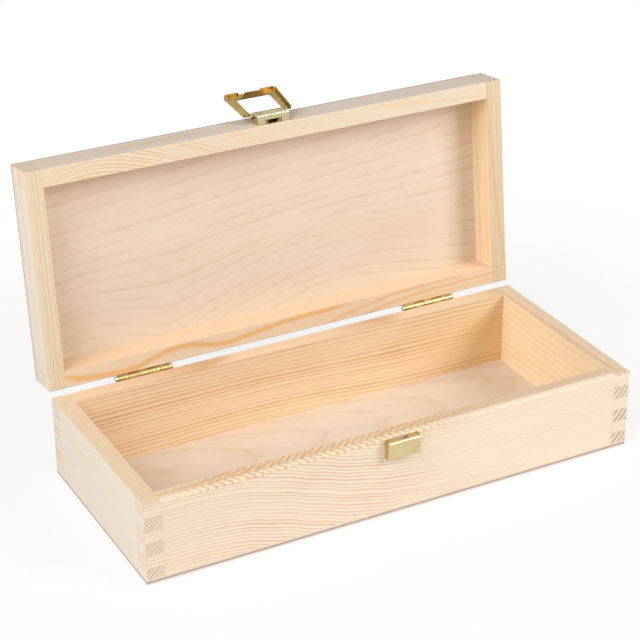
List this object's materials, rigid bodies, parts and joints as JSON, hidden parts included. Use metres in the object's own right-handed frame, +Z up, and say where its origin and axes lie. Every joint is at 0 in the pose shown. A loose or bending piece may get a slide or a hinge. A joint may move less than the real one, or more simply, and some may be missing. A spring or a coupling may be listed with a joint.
{
  "type": "wooden wine box",
  "caption": "Hinged pine wine box with finger-jointed corners, thin plywood floor and lid panel, surface hinges with ball tips and a sheet-metal bail latch on the front.",
  "frame": {"origin": "middle of the flat underside of the base", "axes": "+X along the length, towards the box's right end seen from the front; -Y out of the front, where the latch is; +Z up"},
  "size_m": [0.36, 0.2201, 0.2235],
  "materials": {
    "pine": "sanded, unfinished",
    "plywood": "sanded, unfinished",
    "brass": "thin bright plating",
    "pale_brass": "thin bright plating"
  },
  "bodies": {
    "base": {"base_front_wall": "pine", "base_back_wall": "pine", "base_left_wall": "pine", "base_right_wall": "pine", "base_bottom_panel": "plywood", "left_hinge_base_leaf": "brass", "left_hinge_pin": "pale_brass", "left_hinge_base_nails": "pale_brass", "right_hinge_base_leaf": "brass", "right_hinge_pin": "pale_brass", "right_hinge_base_nails": "pale_brass", "latch_catch": "brass"},
    "lid": {"lid_front_wall": "pine", "lid_back_wall": "pine", "lid_left_wall": "pine", "lid_right_wall": "pine", "lid_top_panel": "plywood", "left_hinge_lid_leaf": "brass", "left_hinge_lid_nails": "pale_brass", "right_hinge_lid_leaf": "brass", "right_hinge_lid_nails": "pale_brass", "latch_bracket": "pale_brass", "latch_spring": "brass"},
    "bail": {"latch_bail": "brass", "latch_pin": "pale_brass"}
  },
  "joints": [
    {"name": "lid_hinge", "type": "hinge", "parent": "base", "child": "lid", "pos_m": [0, 0.0785, 0.0582], "axis": [1, 0, 0], "range_deg": [0, 97]},
    {"name": "bail_pivot", "type": "hinge", "parent": "lid", "child": "bail", "pos_m": [0, 0.10806, 0.21527], "axis": [1, 0, 0], "range_deg": [0, 164]}
  ]
}
